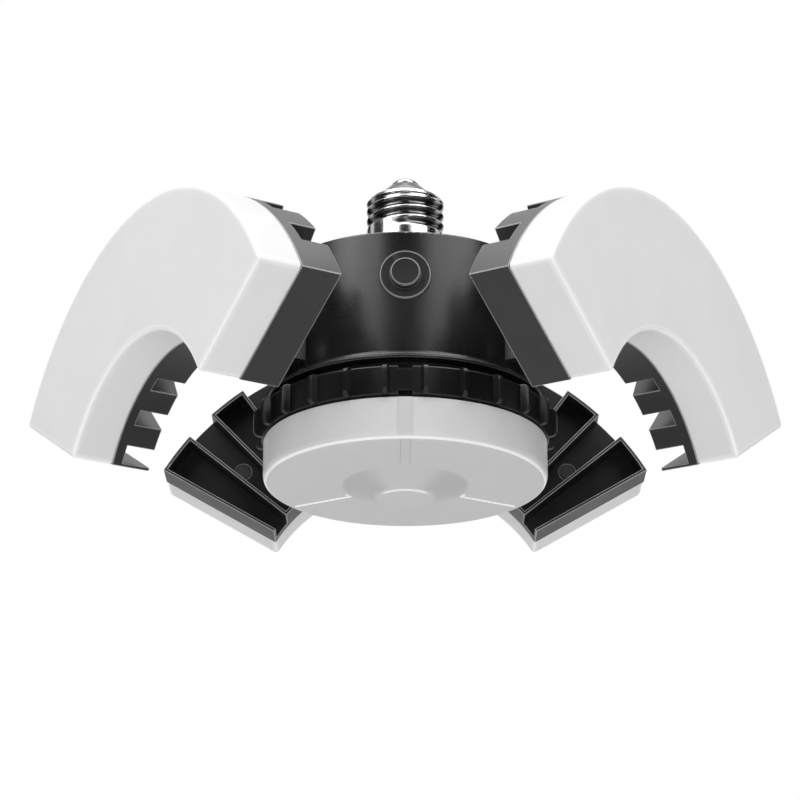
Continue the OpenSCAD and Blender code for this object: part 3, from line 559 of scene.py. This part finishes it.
FINISHES = {
    "nickel_shell": shell_finish("nickel_shell"),
    "contact_metal": metal_finish("contact_metal", (0.36, 0.36, 0.355), 0.25, TURNED),
    "steel": metal_finish("steel", (0.5, 0.51, 0.52), 0.28, PLATED),
    "brass": metal_finish("brass", (0.75, 0.58, 0.3), 0.3, PLATED),
    "insulator": black_finish("insulator", (0.008, 0.0075, 0.009), 0.15, 0.4, 600),
    "black_plastic": black_finish("black_plastic", (0.010, 0.010, 0.011), 0.34, 0.45, 1500),
    "black_button": black_finish("black_button", (0.012, 0.012, 0.013), 0.32, 0.45, 1700),
    "black_housing": black_finish("black_housing", (0.005, 0.005, 0.0055), 0.26, 0.5, 2200),
    "black_crown": black_finish("black_crown", (0.006, 0.006, 0.0065), 0.3, 0.4, 1600),
    "black_heat_sink": black_finish("black_heat_sink", (0.010, 0.010, 0.0105), 0.34, 0.33, 1300),
    # Lighter finishes for the small rounds on black edges: painted highlight lines, the second one dimmer
    "painted_edge_highlight": black_finish("painted_edge_highlight", (0.26, 0.26, 0.262), 0.3, 0.5, 1600),
    "dim_painted_edge_highlight": black_finish("dim_painted_edge_highlight", (0.06, 0.06, 0.062), 0.3, 0.5, 1600),
    "blackened_steel": black_finish("blackened_steel", (0.02, 0.02, 0.021), 0.4, 0.4, 1500),
    "green_board": board_finish("green_board", (0.03, 0.17, 0.07)),
    "white_board": board_finish("white_board", (0.8, 0.81, 0.79)),
    "led_phosphor": moulded_finish("led_phosphor", (0.86, 0.68, 0.16), 0.4, 2500),
    "copper_winding": moulded_finish("copper_winding", (0.5, 0.2, 0.06), 0.3, 1800),
    "capacitor_sleeve": moulded_finish("capacitor_sleeve", (0.02, 0.03, 0.09), 0.3),
    "connector_plastic": moulded_finish("connector_plastic", (0.75, 0.73, 0.66), 0.4),
    "lead_red": moulded_finish("lead_red", (0.5, 0.02, 0.02), 0.35),
    "lead_white": moulded_finish("lead_white", (0.75, 0.75, 0.73), 0.35),
    "frosted_plastic": frosted_finish("frosted_plastic"),
}
WING_LENS = frosted_finish("wing_lens", on_wing=True)
CENTRE_LENS = centre_finish("centre_lens")


# ---------- Wings ----------

def sector_outline(margin):
    """Points round a wing's plan, drawn in on all sides by a margin, with rounded corners."""
    outer, inner, gap = RING_OUT - margin, RING_IN + margin, END_GAP + margin
    radius = max(LENS_CORNER - margin, 0.02 * MM)
    offset = gap + radius
    along = Vector((math.cos(HALF_SPAN), math.sin(HALF_SPAN)))
    inwards = Vector((math.sin(HALF_SPAN), -math.cos(HALF_SPAN)))
    wall_angle = math.degrees(HALF_SPAN) + 90

    def corner_centre(distance):
        return along * math.sqrt(distance ** 2 - offset ** 2) + inwards * offset

    def arc(centre, r, start, end, steps):
        angles = [math.radians(start + (end - start) * i / steps) for i in range(steps + 1)]
        return [(centre[0] + r * math.cos(a), centre[1] + r * math.sin(a)) for a in angles]

    far = corner_centre(outer - radius)
    near = corner_centre(inner + radius)
    far_angle = math.degrees(math.atan2(far.y, far.x))
    near_angle = math.degrees(math.atan2(near.y, near.x))
    top = arc(far, radius, far_angle, wall_angle, CORNER_STEPS)
    top += arc(near, radius, wall_angle, near_angle + 180, CORNER_STEPS)
    bottom = [(x, -y) for x, y in reversed(top)]
    outer_arc = arc((0, 0), outer, -far_angle, far_angle, ARC_STEPS)[1:-1]
    inner_arc = arc((0, 0), inner, near_angle, -near_angle, ARC_STEPS)[1:-1]
    return outer_arc + top + inner_arc + bottom


def quarter_round(radius):
    """(inset, depth) along a rounded front edge, from the side wall to the face."""
    angles = [math.pi / 2 * i / CORNER_STEPS for i in range(CORNER_STEPS + 1)]
    return [(radius * (1 - math.cos(a)), radius * (1 - math.sin(a))) for a in angles]


def wing_diffuser(name, azimuth):
    """Open tray of frosted plastic with every outer edge rounded."""
    rim_depth = LENS_DEPTH - LENS_RIM
    outside = [(LENS_RIM, LENS_DEPTH), (0, rim_depth)] + quarter_round(LENS_EDGE)
    inside = [(LENS_WALL - LENS_RIM, LENS_DEPTH), (LENS_WALL, rim_depth), (LENS_WALL, LENS_WALL)]
    bm = bmesh.new()
    outer_loops, inner_loops = [
        [ring_of(bm, [(x, y, depth) for x, y in sector_outline(inset)]) for inset, depth in steps]
        for steps in (outside, inside)
    ]
    bridge_loops(bm, list(reversed(inner_loops)) + outer_loops)
    bm.faces.new(outer_loops[-1])
    bm.faces.new(inner_loops[-1])
    bmesh.ops.recalc_face_normals(bm, faces=bm.faces)
    bmesh.ops.triangulate(bm, faces=[face for face in bm.faces if len(face.verts) > 4])
    piece = new_object(name + "_lens", bm, [WING_LENS])
    piece.matrix_world = wing_matrix(azimuth)
    weight_normals(piece)
    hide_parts(name + "_diffuser")
    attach(piece, name + "_wing")


# ---------- Centre light ----------

def centre_diffuser():
    """Turned cup with a rounded rim, a raised cone, three grooves and three proud snap fingers."""
    spigot_r = PUCK_R - PUCK_WALL - SPIGOT_IN
    spigot_top = PUCK_H + SPIGOT_H
    profile = round_outline([
        (0, -CONE_H, 0),
        (CONE_TIP_R, -CONE_H, 1.4 * MM),
        (CONE_FOOT_R, 0, 1.0 * MM),
        (PUCK_R, 0, PUCK_EDGE),
        (PUCK_R, PUCK_H, 0.3 * MM),
        (spigot_r, PUCK_H, 0.1 * MM),
        (spigot_r, spigot_top, 0.2 * MM),
        (spigot_r - PUCK_WALL, spigot_top, 0.2 * MM),
        (spigot_r - PUCK_WALL, PUCK_WALL, 1.5 * MM),
        (0, PUCK_WALL, 0),
    ])
    dense = []
    for first, second in zip(profile, profile[1:]):
        pieces = max(1, math.ceil((Vector(second) - Vector(first)).length / PUCK_STEP))
        dense += [tuple(Vector(first).lerp(Vector(second), i / pieces)) for i in range(pieces)]
    dense.append(profile[-1])
    columns = groove_columns()
    bm = bmesh.new()
    rings = []
    for radius, height in dense:
        if radius < WELD:
            points = [(0, 0, at_height(height))]
        else:
            points = [puck_point(radius, height, *column) for column in columns]
        rings.append(ring_of(bm, points))
    fill_rings(bm, rings)
    piece = new_object("centre_lens", bm, [CENTRE_LENS])
    weight_normals(piece, 50)
    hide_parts("centre_diffuser")
    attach(piece, "root")


def groove_columns():
    """Directions of the cup's columns, and whether each lies in a groove and in a finger."""
    marks = sorted(
        side * (half + shift) / PUCK_R
        for half in (GROOVE_W / 2, FINGER_W / 2)
        for side in (-1, 1)
        for shift in (-FLANK_W / 2, FLANK_W / 2)
    )
    columns = []
    for middle in sorted(BETWEEN):
        centre = math.radians(middle)
        start, end = centre - HALF_SPAN, centre + HALF_SPAN
        plain = [start + (end - start) * i / PUCK_COLUMNS for i in range(PUCK_COLUMNS)]
        away = [a for a in plain if abs(a - centre) > PARALLEL_HALF_W / PUCK_R]
        inside = [centre + a for a in marks] + [centre]
        for angle in sorted(away + inside):
            offset = abs(angle - centre) * PUCK_R
            columns.append((angle, offset < GROOVE_W / 2, offset < FINGER_W / 2))
    return columns


def steered(angle, radius):
    """Keeps the sides of grooves and fingers parallel: the columns' angles widen inwards."""
    centre = min((math.radians(a) for a in BETWEEN), key=lambda a: abs(angle - a))
    turn = angle - centre
    radius = min(max(radius, CONE_FOOT_R), PUCK_R)
    inner, outer = PARALLEL_HALF_W / PUCK_R, math.asin(PARALLEL_HALF_W / radius)
    if abs(turn) <= inner:
        return centre + math.asin(turn * PUCK_R / radius)
    if abs(turn) >= PARALLEL_REACH:
        return angle
    share = (abs(turn) - inner) / (PARALLEL_REACH - inner)
    return centre + math.copysign(outer + share * (PARALLEL_REACH - outer), turn)


def puck_point(radius, height, angle, in_groove, in_finger):
    """A vertex of the cup, moved in where it lies in a groove and out where it lies in a finger."""
    angle = steered(angle, radius)
    if radius > CONE_FOOT_R + 0.2 * MM and height < GROOVE_D:
        height = max(height, GROOVE_D if in_groove else 0.0)
    if in_finger and PUCK_EDGE < height < PUCK_H - SLACK and radius > PUCK_R - SLACK:
        radius += FINGER_OUT
    return turned(radius, angle, at_height(height))


def fill_rings(bm, rings):
    """Faces between rings of vertices, of which the first or last may be a single vertex."""
    for low, high in zip(rings, rings[1:]):
        count = max(len(low), len(high))
        for i in range(count):
            j = (i + 1) % count
            corners = []
            for vert in (low[i % len(low)], low[j % len(low)], high[j % len(high)], high[i % len(high)]):
                if vert not in corners:
                    corners.append(vert)
            if len(corners) > 2:
                bm.faces.new(corners)
    bmesh.ops.recalc_face_normals(bm, faces=bm.faces)


# ---------- Crown ----------

def from_ridge(angle):
    """Distance along the crown's wall from the middle of the nearest ridge."""
    pitch = math.tau / RIDGES
    away = (angle - math.radians(FRONT)) % pitch - pitch / 2
    return away * CROWN_R


def flute_radius(angle, height):
    """How far the wall is from the axis: thin ridges over a round floor with a broken edge."""
    rise = (abs(from_ridge(angle)) - RIDGE_TOP_W / 2) / RIDGE_FLANK_W
    rise = max(0, min(1, rise))
    share = rise * rise * (3 - 2 * rise)
    to_end = min(height - CROWN_Z, CROWN_Z + CROWN_H - height)
    broken = max(0, FLOOR_EDGE - to_end)
    return CROWN_R - share * (FLUTE_DEPTH + broken)


def crown():
    """Fluted ring with rounded edges, and the hub that joins it to the housing."""
    top = CROWN_Z + CROWN_H
    carrier_top = CARRIER_Z + CARRIER_T
    floor_end = NOTCH_FLOOR_R + 0.01 * MM
    low_round = [
        (CROWN_R - CROWN_EDGE + CROWN_EDGE * math.sin(a), CROWN_Z + CROWN_EDGE - CROWN_EDGE * math.cos(a))
        for a in [math.pi / 2 * i / CROWN_ROUND_STEPS for i in range(CROWN_ROUND_STEPS + 1)]
    ]
    wall = [(CROWN_R, CROWN_Z + CROWN_EDGE + (CROWN_H - 2 * CROWN_EDGE) * i / 4) for i in range(1, 4)]
    high_round = [(r, 2 * CROWN_Z + CROWN_H - z) for r, z in reversed(low_round)]
    profile = [
        (CARRIER_HOLE_R, CARRIER_Z), (CROWN_IN_R, CARRIER_Z), (CROWN_IN_R, CROWN_Z + CROWN_IN_EDGE),
        (CROWN_IN_R + CROWN_IN_EDGE, CROWN_Z), (NOTCH_FLOOR_R, CROWN_Z), (floor_end, CROWN_Z),
    ]
    profile += low_round + wall + high_round
    profile += [
        (floor_end, top), (NOTCH_FLOOR_R, top), (HUB_R, top), (HUB_R, FLANGE_Z),
        (HUB_R - HUB_WALL, FLANGE_Z), (HUB_R - HUB_WALL, carrier_top), (CARRIER_HOLE_R, carrier_top),
    ]
    columns = crown_columns()
    bm = bmesh.new()
    rings = []
    for radius, height in profile:
        ring = []
        for angle, notched in columns:
            r, z = radius, height
            if radius > NOTCH_FLOOR_R:
                r = min(radius, flute_radius(angle, height))
                if notched:
                    z = min(max(z, CROWN_Z + NOTCH_H), top - NOTCH_H)
            ring.append(turned(r, angle, at_height(z)))
        rings.append(ring_of(bm, ring))
    bridge_loops(bm, rings, closed=True)
    bmesh.ops.recalc_face_normals(bm, faces=bm.faces)
    piece = new_object("crown_cast", bm, [FINISHES["black_crown"]])
    weight_normals(piece, 50)
    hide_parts("crown")
    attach(piece, "root")


def crown_columns():
    """Directions of the crown's columns, close together on the flanks, and which lie in a notch."""
    half = NOTCH_W / 2
    flank_steps = 6
    flank = [RIDGE_TOP_W / 2 + RIDGE_FLANK_W * i / flank_steps for i in range(flank_steps + 1)]
    on_floor = [1.5 * MM, 2.2 * MM, 3.2 * MM, 4.6 * MM, 5.6 * MM]
    offsets = [0.3 * MM] + flank + on_floor
    pitch = math.tau / RIDGES
    columns = []
    for i in range(RIDGES):
        ridge = math.radians(FRONT) + (i + 0.5) * pitch
        columns += [ridge] + [ridge + side * offset / CROWN_R for side in (-1, 1) for offset in offsets]
    middles = [math.radians(middle) for middle in BETWEEN]
    for middle in middles:
        for side in (-1, 1):
            columns += [middle + side * (half + shift) / CROWN_R for shift in (-SLACK, SLACK)]

    def in_notch(angle):
        away = min(abs((angle - middle + math.pi) % math.tau - math.pi) for middle in middles)
        return away * CROWN_R < half

    return [(angle, in_notch(angle)) for angle in sorted(a % math.tau for a in columns)]


# ---------- Screw base ----------

def groove_cut(angle, height):
    """Depth of the rolled groove at a place on the shell: right-handed, from a tapered start."""
    turn = ((math.degrees(angle) - GROOVE_START_AZIMUTH) % 360) / 360
    level = (height - GROOVE_START_Z) / THREAD_PITCH - turn
    if level < -0.5:
        return 0.0
    depth = THREAD_DEPTH * (0.5 + 0.5 * math.cos(math.tau * level)) ** 0.85
    if level < 0.5:
        depth *= min(1, turn / THREAD_START_TURN) ** 0.7
    to_end = SHELL_H - THREAD_END - height
    return depth * max(0, min(1, to_end / THREAD_END_FADE))


def screw_shell():
    """Thin nickel shell with a rolled thread and a shoulder that closes on the insulator."""
    shoulder_z = SHELL_H - SHOULDER_H
    outer = [(SHELL_R, shoulder_z * i / SHELL_ROWS) for i in range(SHELL_ROWS + 1)]
    reach = SHELL_R - SHOULDER_IN - INSULATOR_R
    for i in range(1, SHOULDER_STEPS + 1):
        a = math.pi / 2 * i / SHOULDER_STEPS
        outer.append((INSULATOR_R + reach * math.cos(a) ** 0.8, shoulder_z + SHOULDER_H * math.sin(a)))
    inner_r = SHELL_R - THREAD_DEPTH - SHELL_WALL
    skirt_r = SHELL_R - SHELL_WALL
    inner = [
        (INSULATOR_R, SHELL_H - SHELL_WALL), (inner_r, shoulder_z - SHELL_WALL),
        (inner_r, 6 * MM), (skirt_r, 5 * MM), (skirt_r, 0),
    ]
    angles = [math.tau * i / SHELL_COLUMNS for i in range(SHELL_COLUMNS)]
    bm = bmesh.new()
    rings = [ring_of(bm, [turned(r - groove_cut(a, z), a, z) for a in angles]) for r, z in outer]
    rings += [ring_of(bm, [turned(r, a, z) for a in angles]) for r, z in inner]
    bridge_loops(bm, rings, closed=True)
    bmesh.ops.recalc_face_normals(bm, faces=bm.faces)
    piece = new_object("screw_shell_rolled", bm, [FINISHES["nickel_shell"]])
    piece.data.set_sharp_from_angle(angle=math.radians(50))
    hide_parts("screw_shell")
    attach(piece, "root")


# ---------- Frame nodes ----------

# Width of the edge round, slot, finish of the round (on black pieces a lighter painted highlight), and
# body
FINISHED = {
    "housing": (0.25 * MM, "black_housing", "dim_painted_edge_highlight", "root"),
    "top_cover": (0.4 * MM, "black_plastic", "dim_painted_edge_highlight", "root"),
    "button_bezel": (0.15 * MM, "black_plastic", "painted_edge_highlight", "root"),
    "button_cap": (0.15 * MM, "black_button", "painted_edge_highlight", "button"),
    "contact_insulator": (0.2 * MM, "insulator", "insulator", "root"),
    "centre_contact": (0.25 * MM, "contact_metal", "contact_metal", "root"),
}


def dress_nodes():
    """Every frame node gets the finish of its slot, and the wings' sunk screws a dark one."""
    for name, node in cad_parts.items():
        for holder in node.material_slots:
            slot = holder.material.name.split(".")[0]
            holder.material = FINISHES["blackened_steel" if name.endswith("wing_screws") else slot]


def turned_normals(piece, radius):
    """Gives a turned wall the shading of a true cylinder, whatever holes its mesh goes round."""
    tolerance, steepest, nearest = 0.4 * MM, 0.05, 0.9
    graph = bpy.context.evaluated_depsgraph_get()
    mesh = bpy.data.meshes.new_from_object(piece.evaluated_get(graph))
    normals = [corner.vector.copy() for corner in mesh.corner_normals]
    for polygon in mesh.polygons:
        if polygon.material_index > 0 or abs(polygon.normal.z) > steepest:
            continue
        places = [mesh.vertices[i].co for i in polygon.vertices]
        if all(abs(math.hypot(place.x, place.y) - radius) < tolerance for place in places):
            for loop, place in zip(polygon.loop_indices, places):
                outwards = Vector((place.x, place.y, 0)).normalized()
                if outwards.dot(polygon.normal) > nearest:
                    normals[loop] = outwards
    mesh.normals_split_custom_set(normals)
    piece.modifiers.clear()
    piece.data = mesh


def finish_castings():
    """Takes the castings and mouldings that show from the frame, with their edges broken."""
    for node, (width, slot, round_finish, body) in FINISHED.items():
        piece = finished_copy(node, width, slot, round_finish)
        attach(piece, body)
        if node == "housing":
            turned_normals(piece, HOUSING_R)
    for name in WINGS:
        # The heat sinks' edge rounds take the painted edge highlight
        piece = finished_copy(name + "_heat_sink", SINK_EDGE, "black_heat_sink")
        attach(piece, name + "_wing")


# ---------- Studio ----------

# Soft boxes: direction from the front, elevation, the angles they take up, and radiance
SOFTBOXES = [
    ("key_left", -33, 38, 24, 36, 2.6),
    ("key_right", 33, 38, 24, 36, 2.6),
    ("top", 0, 78, 45, 45, 0.5),
    ("fill", 0, -12, 40, 14, 2),
    ("side_left", -95, 35, 24, 24, 2.4),
    ("side_right", 95, 35, 24, 24, 0.8),
]

# Cards that show in gloss: first and last direction from the front, elevations, and radiance
CARDS = [
    ("flag_front", -17, 13, -30, 62, 0),
    ("flag_left", -66, -52, -30, 23.8, 0),
    ("flag_right", 50, 66, -30, 23.8, 0),
    ("flag_far_left", -108, -66, -30, 62, 0),
    ("flag_far_right", 66, 104, -30, 62, 0),
    ("card_left", -66, -43, 23.8, 60, 8),
    ("card_right", 46, 66, 23.8, 60, 6.5),
    ("card_top", -180, 180, 64, 88, 4),
    ("flag_back_left", -150, -125, -30, 62, 0),
    ("flag_back_right", 125, 150, -30, 62, 0),
]
CARD_R = 1.2
CARD_STEPS = 24
STUDIO_R = 1.3
AIM = Vector((0, 0, -0.04))
FLOOR_Z = -0.5
FLOOR_SIZE = 6
FLOOR_COLOUR = (0.86, 0.86, 0.86, 1)
WORLD_LIGHT = 0.55


def studio_place(azimuth, elevation, distance):
    """A place at a distance from the middle of the object, at an azimuth from its front."""
    a, e = math.radians(FRONT + azimuth), math.radians(elevation)
    return AIM + distance * Vector((math.cos(a) * math.cos(e), math.sin(a) * math.cos(e), math.sin(e)))


def softbox(name, azimuth, elevation, wide, high, radiance):
    """An area lamp that looks at the middle of the object and takes up two angles there."""
    data = bpy.data.lights.new(name, "AREA")
    data.shape = "RECTANGLE"
    data.size = 2 * STUDIO_R * math.tan(math.radians(wide) / 2)
    data.size_y = 2 * STUDIO_R * math.tan(math.radians(high) / 2)
    data.energy = radiance * math.pi * data.size * data.size_y
    lamp = bpy.data.objects.new(name, data)
    bpy.context.scene.collection.objects.link(lamp)
    lamp.location = studio_place(azimuth, elevation, STUDIO_R)
    lamp.rotation_euler = (AIM - lamp.location).to_track_quat("-Z", "Y").to_euler()

def card(name, start, end, low, high, radiance):
    """A card that only shows in reflections, between two directions and two elevations."""
    material = bpy.data.materials.new(name)
    material.use_nodes = True
    nodes = material.node_tree.nodes
    nodes.clear()
    light = nodes.new("ShaderNodeEmission")
    light.inputs["Strength"].default_value = radiance
    output = nodes.new("ShaderNodeOutputMaterial")
    material.node_tree.links.new(light.outputs[0], output.inputs["Surface"])
    material.cycles.emission_sampling = "NONE"
    bm = bmesh.new()
    columns = []
    for i in range(CARD_STEPS + 1):
        azimuth = start + (end - start) * i / CARD_STEPS
        places = [studio_place(azimuth, elevation, CARD_R) for elevation in (low, high)]
        columns.append(ring_of(bm, places))
    for first, second in zip(columns, columns[1:]):
        bm.faces.new((first[0], second[0], second[1], first[1]))
    mesh = bpy.data.meshes.new(name)
    bm.to_mesh(mesh)
    bm.free()
    mesh.materials.append(material)
    piece = bpy.data.objects.new(name, mesh)
    piece.visible_camera = False
    piece.visible_diffuse = False
    piece.visible_shadow = False
    piece.visible_transmission = False
    bpy.context.scene.collection.objects.link(piece)


def paper_floor():
    material = bpy.data.materials.new("floor_paper")
    material.use_nodes = True
    shader = material.node_tree.nodes["Principled BSDF"]
    shader.inputs["Base Color"].default_value = FLOOR_COLOUR
    shader.inputs["Roughness"].default_value = 0.9
    bm = bmesh.new()
    bmesh.ops.create_grid(bm, x_segments=8, y_segments=8, size=FLOOR_SIZE)
    mesh = bpy.data.meshes.new("floor")
    bm.to_mesh(mesh)
    bm.free()
    mesh.materials.append(material)
    floor = bpy.data.objects.new("floor", mesh)
    floor.location = (0, 0, FLOOR_Z)
    bpy.context.scene.collection.objects.link(floor)


def white_world():
    """White where it is seen, mirrored or seen through, and a dimmer light for everything else."""
    world = bpy.data.worlds.new("studio")
    bpy.context.scene.world = world
    world.use_nodes = True
    nodes, links = world.node_tree.nodes, world.node_tree.links
    background = nodes["Background"]
    background.inputs["Color"].default_value = (1, 1, 1, 1)
    path = nodes.new("ShaderNodeLightPath")
    seen = path.outputs["Is Camera Ray"]
    for ray in ("Is Glossy Ray", "Is Transmission Ray"):
        either = nodes.new("ShaderNodeMath")
        either.operation = "MAXIMUM"
        links.new(seen, either.inputs[0])
        links.new(path.outputs[ray], either.inputs[1])
        seen = either.outputs[0]
    level = nodes.new("ShaderNodeMapRange")
    level.inputs["To Min"].default_value = WORLD_LIGHT
    level.inputs["To Max"].default_value = 1.0
    links.new(seen, level.inputs["Value"])
    links.new(level.outputs[0], background.inputs["Strength"])


def studio():
    paper_floor()
    for values in SOFTBOXES:
        softbox(*values)
    for values in CARDS:
        card(*values)
    white_world()


def camera():
    data = bpy.data.cameras.new("camera")
    data.sensor_width = 36
    data.lens = 127.52
    data.shift_x = -0.0066
    data.clip_start = 0.01
    view = bpy.data.objects.new("camera", data)
    view.location = (0, -0.88976, -0.37625)
    view.rotation_euler = (math.radians(110), 0, 0)
    bpy.context.scene.collection.objects.link(view)
    bpy.context.scene.camera = view


camera()
dress_nodes()
finish_castings()
for wing, direction in WINGS.items():
    wing_diffuser(wing, direction)
centre_diffuser()
crown()
screw_shell()
studio()
bpy.context.scene.view_settings.view_transform = "Standard"
